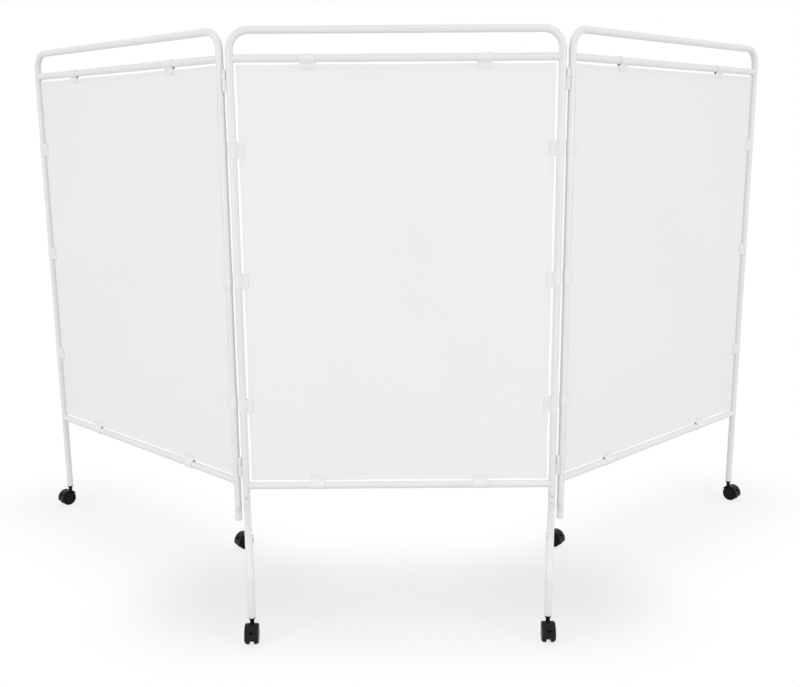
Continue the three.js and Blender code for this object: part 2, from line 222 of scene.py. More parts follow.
def weld_ring(place, stile, inward, height):
    """The closed line where a cross tube's end meets a stile, a little proud of both."""
    points = []
    for step in range(bead_steps):
        angle = 2 * math.pi * step / bead_steps
        depth = tube_radius * math.cos(angle)
        reach = math.sqrt(tube_radius ** 2 - (depth * bead_sink_share) ** 2)
        points.append(place(stile + inward * reach, depth, height + tube_radius * math.sin(angle)))
    return points


def tube_tree():
    """Geometry Nodes that sweep a round section along lines and join what overlaps into one skin."""
    tree = bpy.data.node_groups.new("Welded tubes", "GeometryNodeTree")
    tree.interface.new_socket("Lines", in_out="INPUT", socket_type="NodeSocketGeometry")
    tree.interface.new_socket("Sides", in_out="INPUT", socket_type="NodeSocketInt")
    tree.interface.new_socket("Finish", in_out="INPUT", socket_type="NodeSocketMaterial")
    tree.interface.new_socket("Tubes", in_out="OUTPUT", socket_type="NodeSocketGeometry")
    given = tree.nodes.new("NodeGroupInput")
    line = tree.nodes.new("GeometryNodeMeshToCurve")
    girth = tree.nodes.new("GeometryNodeInputNamedAttribute")
    girth.inputs["Name"].default_value = "girth"
    section = tree.nodes.new("GeometryNodeCurvePrimitiveCircle")
    section.inputs["Radius"].default_value = 1
    sweep = tree.nodes.new("GeometryNodeCurveToMesh")
    sweep.inputs["Fill Caps"].default_value = True
    union = tree.nodes.new("GeometryNodeMeshBoolean")
    union.operation = "UNION"
    union.solver = "EXACT"
    union.inputs["Self Intersection"].default_value = True
    whole = tree.nodes.new("GeometryNodeRealizeInstances")
    paint = tree.nodes.new("GeometryNodeSetMaterial")
    result = tree.nodes.new("NodeGroupOutput")
    for start, end in (
        (given.outputs["Lines"], line.inputs["Mesh"]),
        (given.outputs["Sides"], section.inputs["Resolution"]),
        (line.outputs["Curve"], sweep.inputs["Curve"]),
        (girth.outputs["Attribute"], sweep.inputs["Scale"]),
        (section.outputs["Curve"], sweep.inputs["Profile Curve"]),
        (sweep.outputs["Mesh"], union.inputs["Mesh"]),
        (union.outputs["Mesh"], whole.inputs["Geometry"]),
        (whole.outputs["Geometry"], paint.inputs["Geometry"]),
        (given.outputs["Finish"], paint.inputs["Material"]),
        (paint.outputs["Geometry"], result.inputs["Tubes"]),
    ):
        tree.links.new(start, end)
    return tree


def link_object(name, mesh):
    thing = bpy.data.objects.new(name, mesh)
    bpy.context.scene.collection.objects.link(thing)
    return thing


def bake_modifiers(thing):
    """Replace an object's mesh by what its modifiers make of it, and remove them."""
    graph = bpy.context.evaluated_depsgraph_get()
    baked = bpy.data.meshes.new_from_object(thing.evaluated_get(graph))
    thing.modifiers.clear()
    thing.data = baked
    return thing


def grow(name, mesh, tree, **inputs):
    """A new object whose mesh a Geometry Nodes tree grows from the given mesh."""
    thing = link_object(name, mesh)
    modifier = thing.modifiers.new("Grow", "NODES")
    modifier.node_group = tree
    for socket in tree.interface.items_tree:
        if socket.in_out == "INPUT" and socket.name in inputs:
            modifier[socket.identifier] = inputs[socket.name]
    return bake_modifiers(thing)


def swept(name, lines, sides, finish):
    """Tubes along lines, each given by its points, its radius and whether it closes on itself."""
    points, edges, girths = [], [], []
    for line, radius, closed in lines:
        first = len(points)
        last = first + len(line) - 1
        points += line
        edges += [(index, index + 1) for index in range(first, last)]
        edges += [(last, first)] if closed else []
        girths += [radius] * len(line)
    mesh = bpy.data.meshes.new(name)
    mesh.from_pydata(points, edges, [])
    mesh.attributes.new("girth", "FLOAT", "POINT").data.foreach_set("value", girths)
    return grow(name, mesh, tubes, Sides=sides, Finish=finish)


def smooth(thing, angle=35):
    """Shade a mesh smooth, with creases where its faces meet at more than the angle in degrees."""
    thing.data.shade_smooth()
    thing.data.set_sharp_from_angle(angle=math.radians(angle))
    return thing


def fit(thing, body, slot, *nodes):
    """Shade a finished piece, let it ride on its body and let it stand for its solids."""
    smooth(thing)
    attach(thing, body)
    if nodes:
        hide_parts(*nodes)
    return thing


def frame_lines(place, left, right, left_end, right_end, lower_bar):
    """The bent tube of one frame, its two cross tubes and the beads of weld at their ends."""
    corners = [place(left, 0, left_end), place(left, 0, top_bar_height)]
    corners += [place(right, 0, top_bar_height), place(right, 0, right_end)]
    lines = [(bent_route(corners, corner_bend), tube_radius, False)]
    for height in (upper_bar_height, lower_bar):
        lines.append(([place(left, 0, height), place(right, 0, height)], tube_radius, False))
        lines.append((weld_ring(place, left, 1, height), bead_radius, True))
        lines.append((weld_ring(place, right, -1, height), bead_radius, True))
    return lines


tubes = tube_tree()
centre_lines = frame_lines(centre_place, -half_spacing, half_spacing, centre_low.z, centre_low.z,
                           lower_bar_height)
fit(swept("centre_tube_frame", centre_lines, tube_sides, coat), "centre", "white_coat", "centre_frame")
for hand, side in hands:
    wing_lines = frame_lines(wing_place(side), hinge_offset, wing_outer, wing_short_end, tube_end_height,
                             wing_lower_bar_height)
    wing_tubes = swept(f"{hand}_wing_tube_frame", wing_lines, tube_sides, coat)
    fit(wing_tubes, f"{hand}_wing", "white_coat", f"{hand}_wing_frame")


# Arched feet
# Under each centre stile stands an inverted U of the same tube, turned in a little at the front. A spigot
# welded to its crown enters the stile.
foot_seat_gap = 0.3 * MM
foot_crown_height = centre_low.z - tube_radius - foot_seat_gap
foot_bend = 100 * MM
spigot_radius = 9 * MM
spigot_length = 40 * MM
spigot_bead_radius = bead_radius / 2
for hand, side in hands:
    stile_foot = centre_place(side * half_spacing, 0, 0)
    up = Vector((0, 0, 1))
    front = joint_spot(f"{hand}_front_caster_swivel")
    rear = joint_spot(f"{hand}_rear_caster_swivel")
    forward = (front - rear).normalized()
    corners = [front + up * tube_end_height, front + up * foot_crown_height]
    corners += [rear + up * foot_crown_height, rear + up * tube_end_height]
    crown = stile_foot + up * foot_crown_height
    spigot = [crown, crown + up * (tube_radius + spigot_length)]
    bead = []
    for step in range(bead_steps):
        angle = 2 * math.pi * step / bead_steps
        side_reach = spigot_radius * math.cos(angle)
        rise = math.sqrt(tube_radius ** 2 - side_reach ** 2)
        across = forward.cross(up) * side_reach + forward * spigot_radius * math.sin(angle)
        bead.append(crown + across + up * rise)
    foot_lines = [(bent_route(corners, foot_bend), tube_radius, False), (spigot, spigot_radius, False),
                  (bead, spigot_bead_radius, True)]
    foot = swept(f"{hand}_foot_tube", foot_lines, tube_sides, coat)
    fit(foot, "centre", "white_coat", f"{hand}_arched_foot")


# Hinges
# A short sleeve is welded to the outside of each centre stile, and a bullet-nosed lug with a pin to the
# inner stile of the wing, so that the wing lifts off. Both halves are steel, coated with their frames.
hinge_radius = 5.7 * MM
sleeve_length = 35 * MM
pin_radius = 2.4 * MM
pin_play = 0.3 * MM
pin_engagement = 31 * MM
lug_length = 27 * MM
lug_nose_length = 7 * MM
edge_radius = 0.6 * MM
bead_groove_share = 0.75
round_share = 0.45
turning_segments = 64
on_axis = 0.001 * MM
nose_steps = 8


def rounded(profile, radius, steps=4):
    """The profile with a small curve at each inner corner."""
    soft = [Vector(profile[0])]
    for before, corner, after in zip(profile, profile[1:], profile[2:]):
        corner = Vector(corner)
        arriving = Vector(before) - corner
        leaving = Vector(after) - corner
        reach = min(radius, arriving.length * round_share, leaving.length * round_share)
        start = corner + arriving.normalized() * reach
        end = corner + leaving.normalized() * reach
        for step in range(steps + 1):
            share = step / steps
            soft.append(start.lerp(corner, share).lerp(corner.lerp(end, share), share))
    return soft + [Vector(profile[-1])]


def mesh_of(name, shape):
    """Turn a finished shape into a mesh and free the shape."""
    mesh = bpy.data.meshes.new(name)
    shape.to_mesh(mesh)
    shape.free()
    return mesh


def turned(name, profile, segments=turning_segments, ring=False):
    """A mesh turned about Z from radius and height pairs that start and end on the axis, or make a ring."""
    shape = bmesh.new()
    rows = []
    for radius, height in profile:
        if radius < on_axis:
            rows.append([shape.verts.new((0, 0, height))] * segments)
            continue
        angles = [2 * math.pi * step / segments for step in range(segments)]
        rows.append([shape.verts.new((radius * math.cos(a), radius * math.sin(a), height)) for a in angles])
    pairs = list(zip(rows, rows[1:])) + ([(rows[-1], rows[0])] if ring else [])
    for lower, upper in pairs:
        for step in range(segments):
            following = (step + 1) % segments
            corners = [lower[step], lower[following], upper[following], upper[step]]
            unlike = list(dict.fromkeys(corners))
            if len(unlike) > 2:
                shape.faces.new(unlike)
    bmesh.ops.recalc_face_normals(shape, faces=shape.faces)
    return mesh_of(name, shape)


def dress(mesh, material):
    """Give a mesh one material in place of any others."""
    mesh.materials.clear()
    mesh.materials.append(material)


def finished(name, mesh, material, matrix=None):
    """An object at the origin whose mesh is moved to its place and has one material."""
    if matrix:
        mesh.transform(matrix)
    dress(mesh, material)
    return link_object(name, mesh)


def side_beads(axis, stile, bottom, top):
    """The two lines of weld in the grooves between a hinge half and its stile."""
    towards = (stile - axis).normalized()
    sideways = towards.cross(Vector((0, 0, 1)))
    root = axis + towards * hinge_radius
    lines = []
    for way in (-1, 1):
        groove = root + sideways * way * hinge_radius * bead_groove_share
        lines.append(([groove + Vector((0, 0, bottom)), groove + Vector((0, 0, top))], bead_radius, False))
    return lines


for hand, side in hands:
    axis = joint_spot(f"{hand}_wing_hinge")
    centre_stile = centre_place(side * half_spacing, 0, 0)
    wing_stile = wing_place(side)(hinge_offset, 0, 0)
    for level in ("upper", "lower"):
        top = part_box(f"{hand}_{level}_hinge_pin")[0].z + pin_engagement
        bottom = top - sleeve_length
        sleeve_profile = [(hinge_radius, bottom), (hinge_radius, top), (pin_radius + pin_play, top),
                          (pin_radius + pin_play, bottom)]
        closed = rounded([sleeve_profile[-1], *sleeve_profile, sleeve_profile[0]], edge_radius)[1:-1]
        sleeve = finished(f"{hand}_{level}_hinge_sleeve", turned("sleeve", closed, ring=True), coat,
                          Matrix.Translation(axis))
        fit(sleeve, "centre", "white_coat")
        sleeve_beads = side_beads(axis, centre_stile, bottom + edge_radius, top - edge_radius)
        fit(swept(f"{hand}_{level}_sleeve_weld", sleeve_beads, bead_sides, coat), "centre", "white_coat")
        foot_height = top + pin_play
        lug_top = foot_height + lug_length
        nose = []
        for step in range(nose_steps + 1):
            angle = math.pi / 2 * step / nose_steps
            nose.append((hinge_radius * math.cos(angle), lug_top - lug_nose_length * (1 - math.sin(angle))))
        pin_tip = top - pin_engagement
        pin_profile = rounded([(0, pin_tip), (pin_radius, pin_tip), (pin_radius, foot_height),
                               (hinge_radius, foot_height), nose[0]], edge_radius)
        pin = finished(f"{hand}_{level}_hinge_lug", turned("lug", pin_profile + nose[1:]), coat,
                       Matrix.Translation(axis))
        fit(pin, f"{hand}_wing", "white_coat", f"{hand}_{level}_hinge_pin")
        lug_beads = side_beads(axis, wing_stile, foot_height + edge_radius, lug_top - lug_nose_length)
        lug_weld = swept(f"{hand}_{level}_lug_weld", lug_beads, bead_sides, coat)
        fit(lug_weld, f"{hand}_wing", "white_coat")


# Stile plugs
# The open lower end of each wing's short stile is closed by a pale moulded plug with a rounded nose. Its
# plain shank is inside the tube.
plug_height = 5 * MM
plug_nose_radius = 6 * MM
plug_shank_radius = 9 * MM
plug_shank_length = 20 * MM
plug_seat_gap = 0.3 * MM
plug_edge_radius = 1.6 * MM
plug_dark = (0.64, 0.64, 0.64, 1)
plug_light = (0.71, 0.71, 0.71, 1)
plug_grain_depth = 0.04 * MM


def pale_plastic():
    finish = Finish("pale_plug_plastic")
    place = finish.place()
    grain = finish.noise(place, 900.0, 3.0)
    cloud = finish.noise(place, 60.0)
    colour = finish.mix(cloud, plug_dark, plug_light)
    return finish.wear(colour, 0.42 + grain * 0.15, grain, plug_grain_depth)


pale = pale_plastic()
for hand, side in hands:
    seat = wing_short_end - plug_seat_gap
    plug_profile = rounded([(0, seat - plug_height), (plug_nose_radius, seat - plug_height),
                            (tube_radius, seat - plug_height / 2), (tube_radius, seat),
                            (plug_shank_radius, seat), (plug_shank_radius, seat + plug_shank_length),
                            (0, seat + plug_shank_length)], plug_edge_radius)
    stile_plug = finished(f"{hand}_stile_plug", turned("plug", plug_profile), pale,
                          Matrix.Translation(wing_place(side)(hinge_offset, 0, 0)))
    fit(stile_plug, f"{hand}_wing", "white_plastic", f"{hand}_stile_cap")


# Foot bolts
# A zinc-plated button-head screw with a hexagon socket goes through each centre stile just under the lower
# cross tube and locks the stile on the foot's spigot.
bolt_low, bolt_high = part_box("left_foot_bolt")
bolt_height = (bolt_low.z + bolt_high.z) / 2
bolt_radius = 3 * MM
bolt_head_radius = 5 * MM
bolt_head_height = 3 * MM
bolt_length = 16 * MM
bolt_seat_gap = 0.3 * MM
socket_radius = 1.8 * MM
socket_depth = 1.2 * MM
dome_steps = 6
zinc_dark = (0.58, 0.59, 0.60, 1)
zinc_light = (0.70, 0.705, 0.71, 1)
brushing_depth = 0.02 * MM


def zinc_steel():
    finish = Finish("zinc_plated_steel", Metallic=1.0)
    place = finish.place()
    brushed = finish.noise(place, 700.0, 4.0)
    stained = finish.noise(place, 90.0)
    colour = finish.mix(stained, zinc_dark, zinc_light)
    return finish.wear(colour, 0.32 + brushed * 0.14, brushed, brushing_depth)


def hexagon(radius, bottom, top):
    """A closed hexagonal prism about Z."""
    shape = bmesh.new()
    bmesh.ops.create_cone(shape, cap_ends=True, segments=6, radius1=radius, radius2=radius,
                          depth=top - bottom)
    bmesh.ops.translate(shape, verts=shape.verts, vec=(0, 0, (top + bottom) / 2))
    return link_object("hexagon", mesh_of("hexagon", shape))


def cut(thing, cutter):
    """Cut one object out of another with an exact boolean that also joins the first one's own shells."""
    modifier = thing.modifiers.new("Cut", "BOOLEAN")
    modifier.operation = "DIFFERENCE"
    modifier.solver = "EXACT"
    modifier.use_self = True
    modifier.object = cutter
    bake_modifiers(thing)
    bpy.data.objects.remove(cutter)
    return thing


zinc = zinc_steel()
for hand, side in hands:
    dome = []
    for step in range(dome_steps + 1):
        angle = math.pi / 2 * step / dome_steps
        dome.append((bolt_head_radius * math.cos(angle), bolt_length + bolt_head_height * math.sin(angle)))
    bolt_profile = [(0, 0), (bolt_radius, 0), (bolt_radius, bolt_length), *dome[:-1], (0, dome[-1][1])]
    bolt = finished(f"{hand}_foot_screw", turned("screw", bolt_profile), zinc)
    head_top = bolt_length + bolt_head_height
    cut(bolt, hexagon(socket_radius, head_top - socket_depth, head_top + socket_depth))
    bolt_tip = bolt_length - tube_radius - bolt_seat_gap
    place_bolt = Matrix.Translation(centre_place(side * half_spacing, bolt_tip, bolt_height))
    bolt.data.transform(place_bolt @ Matrix.Rotation(math.pi / 2, 4, "X"))
    fit(bolt, "centre", "bright_steel", f"{hand}_foot_bolt")


# Sheets
# Each sheet is plain white polyester cotton with a turned and sewn hem all round. It is stretched in its
# frame by straps sewn to the hem: two round each cross tube and three round each stile.
sheet_gap = 6 * MM
sheet_thickness = 0.7 * MM
hem_thickness = 1.9 * MM
hem_width = 10 * MM
seam_inset = 8 * MM
hem_fold_stations = (0, 0.4 * MM, 1.1 * MM)
hem_fold_radius = 0.9 * MM
hem_edge_share = 0.3
hem_fold_share = 0.8
seam_dent_reach = 0.9 * MM
seam_dent_share = 0.78
seam_sink_share = 0.44
station_slack = 0.2 * MM
cell = 12 * MM
scallop_depth = 1.6 * MM
strap_width = 44 * MM
strap_thickness = 0.8 * MM
strap_overlap = 14 * MM
strap_seam_inset = 3 * MM
strap_seam_start = 1.5 * MM
strap_drop = 253 * MM
strap_turn = 1 * MM
strap_turn_rise = 0.4 * MM
strap_share = 0.234
strap_arc_steps = 28
strap_columns = 10
strap_edge_share = 0.3
stitch_pitch = 3.2 * MM
stitch_length = 2.5 * MM
stitch_radius = 0.28 * MM
thread_pitch = 0.55 * MM
weave_depth = 0.05 * MM
twist_depth = 0.04 * MM
cotton_dark = (0.775, 0.775, 0.776, 1)
cotton_light = (0.842, 0.842, 0.843, 1)
tape_dark = (0.75, 0.75, 0.751, 1)
tape_light = (0.81, 0.81, 0.811, 1)
thread_dark = (0.70, 0.70, 0.70, 1)
thread_light = (0.80, 0.80, 0.80, 1)


def woven_cotton(name, dark, light):
    """Plain weave: threads that cross over and under each other and vary a little in thickness and tone."""
    finish = Finish(name, Sheen_Weight=0.25, Sheen_Roughness=0.5, Specular_IOR_Level=0.25)
    flat = finish.node("ShaderNodeUVMap", {"uv_map": "cloth"})
    split = finish.node("ShaderNodeSeparateXYZ", sockets={0: flat})
    across = Wire(finish, split.socket.node.outputs[0])
    along = Wire(finish, split.socket.node.outputs[1])
    warp = (across * (math.pi / thread_pitch)).sine()
    weft = (along * (math.pi / thread_pitch)).sine()
    over = warp * weft > 0.0
    crown = abs(warp) * over + abs(weft) * (1 - over)
    warp_way = finish.node("ShaderNodeMapping", sockets={0: flat, "Scale": (260.0, 9.0, 1.0)})
    slub = finish.noise(warp_way, 1.0)
    weft_way = finish.node("ShaderNodeMapping", sockets={0: flat, "Scale": (9.0, 260.0, 1.0)})
    cross_slub = finish.noise(weft_way, 1.0)
    cloud = finish.noise(flat, 2.2)
    tone = cloud * 0.5 + slub * 0.25 + cross_slub * 0.25
    colour = finish.mix(tone, dark, light)
    return finish.wear(colour, 0.8 + crown * 0.1, crown + slub, weave_depth)


def sewing_thread():
    finish = Finish("white_sewing_thread", Sheen_Weight=0.4)
    place = finish.place()
    twist = finish.noise(place, 1500.0)
    colour = finish.mix(twist, thread_dark, thread_light)
    return finish.wear(colour, 0.6 + twist * 0.2, twist, twist_depth)


def grid_lines(length):
    """Stations across a sheet: close at each hem's fold and seam, and a cell apart between the hems."""
    edge = [*hem_fold_stations, seam_inset - seam_dent_reach, seam_inset, seam_inset + seam_dent_reach,
            hem_width - station_slack, hem_width + 2 * station_slack]
    inner = length - 2 * edge[-1]
    cells = round(inner / cell)
    middle = [edge[-1] + inner * step / cells for step in range(1, cells)]
    return edge + middle + [length - station for station in reversed(edge)]


def hem_share(inset):
    """The cloth's thickness at a distance from the sheet's edge, as a share of the hem's."""
    if inset > hem_width:
        return sheet_thickness / hem_thickness
    if inset < station_slack:
        return hem_edge_share
    if inset < hem_fold_radius:
        return hem_fold_share
    return seam_dent_share if abs(inset - seam_inset) < station_slack else 1.0


def scallop(station, holds):
    """How far an edge is drawn in between the straps that hold it, at a station along it."""
    spans = list(zip(holds, holds[1:]))
    for start, end in spans:
        if start <= station <= end:
            return scallop_depth * math.sin(math.pi * (station - start) / (end - start)) ** 2
    return 0.0


def cloth_face(shape, flat, grid, i, j, columns, rows):
    """One face of a grid of cloth, with its corners' places on the flat cloth."""
    corners = ((i, j), (i, j + 1), (i + 1, j + 1), (i + 1, j))
    face = shape.faces.new([grid[row][column] for row, column in corners])
    for loop, (row, column) in zip(face.loops, corners):
        loop[flat].uv = (columns[column], rows[row])


def sheet_mesh(name, place, left, bottom, width, height, top_holds, side_holds):
    """The sheet's own cloth, drawn in a little between the straps and thicker at its hems."""
    columns = grid_lines(width)
    rows = grid_lines(height)
    shape = bmesh.new()
    flat = shape.loops.layers.uv.new("cloth")
    group = shape.verts.layers.deform.verify()
    corners = []
    for row in rows:
        line = []
        for column in columns:
            from_side = min(column, width - column)
            from_end = min(row, height - row)
            reach = (1 - from_side / (width / 2)) ** 3
            rise = (1 - from_end / (height / 2)) ** 3
            drawn = scallop(row, side_holds) * reach * (1 if column < width / 2 else -1)
            lifted = scallop(column, top_holds) * rise * (1 if row < height / 2 else -1)
            vertex = shape.verts.new(place(left + column + drawn, 0, bottom + row + lifted))
            vertex[group][0] = hem_share(min(from_side, from_end))
            line.append(vertex)
        corners.append(line)
    for i in range(len(rows) - 1):
        for j in range(len(columns) - 1):
            cloth_face(shape, flat, corners, i, j, columns, rows)
    thing = link_object(name, mesh_of(name, shape))
    thing.vertex_groups.new(name="hem")
    thicken = thing.modifiers.new("Cloth thickness", "SOLIDIFY")
    thicken.thickness = hem_thickness
    thicken.offset = 0
    thicken.vertex_group = "hem"
    return bake_modifiers(thing)


def strap_path():
    """The strap's own line round a tube, as distances towards the sheet and behind its plane."""
    ride = tube_radius + pin_play + strap_thickness / 2
    seat = (hem_thickness + strap_thickness) / 2
    meeting = Vector((tube_radius + sheet_gap - strap_turn, seat))
    tangent = math.atan2(meeting.y, meeting.x) + math.acos(ride / meeting.length)
    tail = Vector((tube_radius + sheet_gap + strap_overlap, seat))
    half = [tail, tail.lerp(meeting, 0.5), meeting + Vector((strap_turn, 0)),
            meeting - Vector((strap_turn, -strap_turn_rise))]
    round_tube = []
    for step in range(strap_arc_steps + 1):
        angle = tangent + (2 * math.pi - 2 * tangent) * step / strap_arc_steps
        round_tube.append(Vector((ride * math.cos(angle), ride * math.sin(angle))))
    other = [Vector((point.x, -point.y)) for point in reversed(half)]
    return half + round_tube + other


def strap_mesh(name, places):
    """Straps at several places, each a function of distance along the tube, to the sheet and behind it."""
    shape = bmesh.new()
    flat = shape.loops.layers.uv.new("cloth")
    path = strap_path()
    lengths = [0.0]
    for before, after in zip(path, path[1:]):
        lengths.append(lengths[-1] + (after - before).length)
    widths = [strap_width * column / strap_columns for column in range(strap_columns + 1)]
    steps = [strap_width * (column / strap_columns - 0.5) for column in range(strap_columns + 1)]
    for place in places:
        grid = []
        for towards, behind in path:
            grid.append([shape.verts.new(place(along, towards, behind)) for along in steps])
        for i in range(len(path) - 1):
            for j in range(strap_columns):
                cloth_face(shape, flat, grid, i, j, widths, lengths)
    thing = link_object(name, mesh_of(name, shape))
    thicken = thing.modifiers.new("Strap thickness", "SOLIDIFY")
    thicken.thickness = strap_thickness
    thicken.offset = 0
    soften = thing.modifiers.new("Strap edges", "BEVEL")
    soften.width = strap_thickness * strap_edge_share
    soften.segments = 2
    return bake_modifiers(thing)


def stitch_tree():
    """Geometry Nodes that lay one small stitch after another along seam lines."""
    tree = bpy.data.node_groups.new("Stitches", "GeometryNodeTree")
    tree.interface.new_socket("Seams", in_out="INPUT", socket_type="NodeSocketGeometry")
    tree.interface.new_socket("Pitch", in_out="INPUT", socket_type="NodeSocketFloat")
    tree.interface.new_socket("Length", in_out="INPUT", socket_type="NodeSocketFloat")
    tree.interface.new_socket("Radius", in_out="INPUT", socket_type="NodeSocketFloat")
    tree.interface.new_socket("Finish", in_out="INPUT", socket_type="NodeSocketMaterial")
    tree.interface.new_socket("Stitches", in_out="OUTPUT", socket_type="NodeSocketGeometry")
    given = tree.nodes.new("NodeGroupInput")
    line = tree.nodes.new("GeometryNodeMeshToCurve")
    spaced = tree.nodes.new("GeometryNodeResampleCurve")
    spaced.mode = "LENGTH"
    tangent = tree.nodes.new("GeometryNodeInputTangent")
    turn = tree.nodes.new("FunctionNodeAlignRotationToVector")
    turn.axis = "Z"
    stitch = tree.nodes.new("GeometryNodeMeshIcoSphere")
    stitch.inputs["Radius"].default_value = 1
    stitch.inputs["Subdivisions"].default_value = 1
    size = tree.nodes.new("ShaderNodeCombineXYZ")
    half = tree.nodes.new("ShaderNodeMath")
    half.operation = "MULTIPLY"
    half.inputs[1].default_value = 0.5
    lay = tree.nodes.new("GeometryNodeInstanceOnPoints")
    whole = tree.nodes.new("GeometryNodeRealizeInstances")
    paint = tree.nodes.new("GeometryNodeSetMaterial")
    result = tree.nodes.new("NodeGroupOutput")
    for start, end in (
        (given.outputs["Seams"], line.inputs["Mesh"]),
        (line.outputs["Curve"], spaced.inputs["Curve"]),
        (given.outputs["Pitch"], spaced.inputs["Length"]),
        (spaced.outputs["Curve"], lay.inputs["Points"]),
        (tangent.outputs["Tangent"], turn.inputs["Vector"]),
        (turn.outputs["Rotation"], lay.inputs["Rotation"]),
        (stitch.outputs["Mesh"], lay.inputs["Instance"]),
        (given.outputs["Radius"], size.inputs["X"]),
        (given.outputs["Radius"], size.inputs["Y"]),
        (given.outputs["Length"], half.inputs[0]),
        (half.outputs[0], size.inputs["Z"]),
        (size.outputs["Vector"], lay.inputs["Scale"]),
        (lay.outputs["Instances"], whole.inputs["Geometry"]),
        (whole.outputs["Geometry"], paint.inputs["Geometry"]),
        (given.outputs["Finish"], paint.inputs["Material"]),
        (paint.outputs["Geometry"], result.inputs["Stitches"]),
    ):
        tree.links.new(start, end)
    return tree


def seam_mesh(name, seams):
    """A mesh of lines, one for each seam's list of points."""
    points, edges = [], []
    for seam in seams:
        first = len(points)
        points += seam
        edges += [(index, index + 1) for index in range(first, first + len(seam) - 1)]
    mesh = bpy.data.meshes.new(name)
    mesh.from_pydata(points, edges, [])
    return mesh


def hang_sheet(hand, body, place, left, right, bottom_bar):
    """One sheet with its straps and sewing, between the stiles at left and right."""
    top_bar = upper_bar_height
    inset = tube_radius + sheet_gap
    start, low = left + inset, bottom_bar + inset
    width, height = right - left - 2 * inset, top_bar - bottom_bar - 2 * inset
    strap_columns_at = [left + (right - left) * share for share in (strap_share, 1 - strap_share)]
    strap_heights = [bottom_bar + strap_drop, (bottom_bar + top_bar) / 2, top_bar - strap_drop]
    top_holds = [0, *[column - start for column in strap_columns_at], width]
    side_holds = [0, *[level - low for level in strap_heights], height]
    cloth = sheet_mesh(f"{hand}_cloth", place, start, low, width, height, top_holds, side_holds)
    dress(cloth.data, cotton)
    fit(cloth, body, "sheet_fabric", f"{hand}_sheet")
    straps = []
    for column in strap_columns_at:
        straps.append(lambda a, t, b, c=column: place(c + a, b, top_bar - t))
        straps.append(lambda a, t, b, c=column: place(c - a, b, bottom_bar + t))
    for level in strap_heights:
        straps.append(lambda a, t, b, z=level: place(left + t, b, z + a))
        straps.append(lambda a, t, b, z=level: place(right - t, b, z - a))
    strap_set = strap_mesh(f"{hand}_straps", straps)
    dress(strap_set.data, tape)
    fit(strap_set, body, "sheet_fabric")
    seams = []
    seam_left, seam_right = start + seam_inset, start + width - seam_inset
    seam_low, seam_high = low + seam_inset, low + height - seam_inset
    ring = [(seam_left, seam_low), (seam_right, seam_low), (seam_right, seam_high), (seam_left, seam_high)]
    near, far = inset + strap_seam_start, inset + strap_overlap - strap_seam_inset
    edge = strap_width / 2 - strap_seam_inset
    for face in (-1, 1):
        out = face * hem_thickness * seam_sink_share
        seams.append([place(x, out, z) for x, z in [*ring, ring[0]]])
        proud = face * (hem_thickness / 2 + strap_thickness)
        for strap in straps:
            box = [(-edge, near), (edge, near), (edge, far), (-edge, far), (-edge, near)]
            seams.append([strap(a, t, proud) for a, t in box])
    sewing = grow(f"{hand}_sewing", seam_mesh("seams", seams), stitches, Pitch=stitch_pitch,
                  Length=stitch_length, Radius=stitch_radius, Finish=thread)
    fit(sewing, body, "sheet_fabric")


cotton = woven_cotton("white_sheet_cloth", cotton_dark, cotton_light)
tape = woven_cotton("white_cotton_tape", tape_dark, tape_light)
thread = sewing_thread()
stitches = stitch_tree()
hang_sheet("centre", "centre", centre_place, -half_spacing, half_spacing, lower_bar_height)
for hand, side in hands:
    hang_sheet(f"{hand}_wing", f"{hand}_wing", wing_place(side), hinge_offset, wing_outer,
               wing_lower_bar_height)


# Casters
# Each caster is black moulded nylon: a flared collar plug in the tube end, a hood with a neck and a web
# between the wheels, two 55 mm wheels with a ring groove, and a brake tab in a slot of the hood.
caster_axle = Vector(joints["left_front_caster_wheel_a_spin"]["pos_m"])
caster_trail = (joint_spot("left_front_caster_wheel_a_spin")
                - joint_spot("left_front_caster_swivel")).length
axle_height = caster_axle.z
web_half = 6 * MM
web_gap = 0.5 * MM
wheel_width = 12 * MM
wheel_disc_thickness = 3 * MM
wheel_bore_radius = 3.3 * MM
wheel_edge_radius = 1.4 * MM
wheel_segments = 96
hood_inner = 28.5 * MM
hood_outer = 31 * MM
hood_half_width = 18.5 * MM
hood_round = 6.5 * MM
hood_from = math.radians(-12)
hood_to = math.radians(152)
hood_steps = 72
hood_edge_steps = 7
hood_edge_share = 0.8
hub_radius = 9 * MM
hood_edge_radius = 1 * MM
neck_radius = 6.2 * MM
neck_bottom = 40 * MM
flare_depth = 9.5 * MM
collar_height = 6 * MM
collar_gap = 0.3 * MM
collar_lip = 0.8 * MM
collar_edge_radius = 0.4 * MM
plug_insert_radius = 9 * MM
plug_insert_length = 30 * MM
lever_arm = Vector(joints["left_front_caster_brake_press"]["pos_m"]) - caster_axle
lever_pivot = lever_arm.length
lever_angle = math.asin(lever_arm.z / lever_pivot)
lever_half_width = 3.5 * MM
lever_tab_half_width = 5 * MM
lever_slot_half_width = 5.2 * MM
lever_half_thickness = 1.8 * MM
lever_reach = 7.5 * MM
lever_play = 0.3 * MM
lever_travel = 3.4 * MM
lever_bevel = 0.4 * MM
lever_end_steps = 8
lever_slit_half_width = 1.9 * MM
lever_slit_length = 7.5 * MM
groove_radius = 21 * MM
groove_width = 2 * MM
groove_depth = 1.8 * MM
shoulder_width = 5 * MM
shoulder_drop = 3 * MM
nylon_dark = (0.007, 0.007, 0.0073, 1)
nylon_light = (0.014, 0.014, 0.0145, 1)
wheel_nylon_dark = (0.006, 0.006, 0.0065, 1)
wheel_nylon_light = (0.013, 0.013, 0.014, 1)
nylon_grain_depth = 0.035 * MM


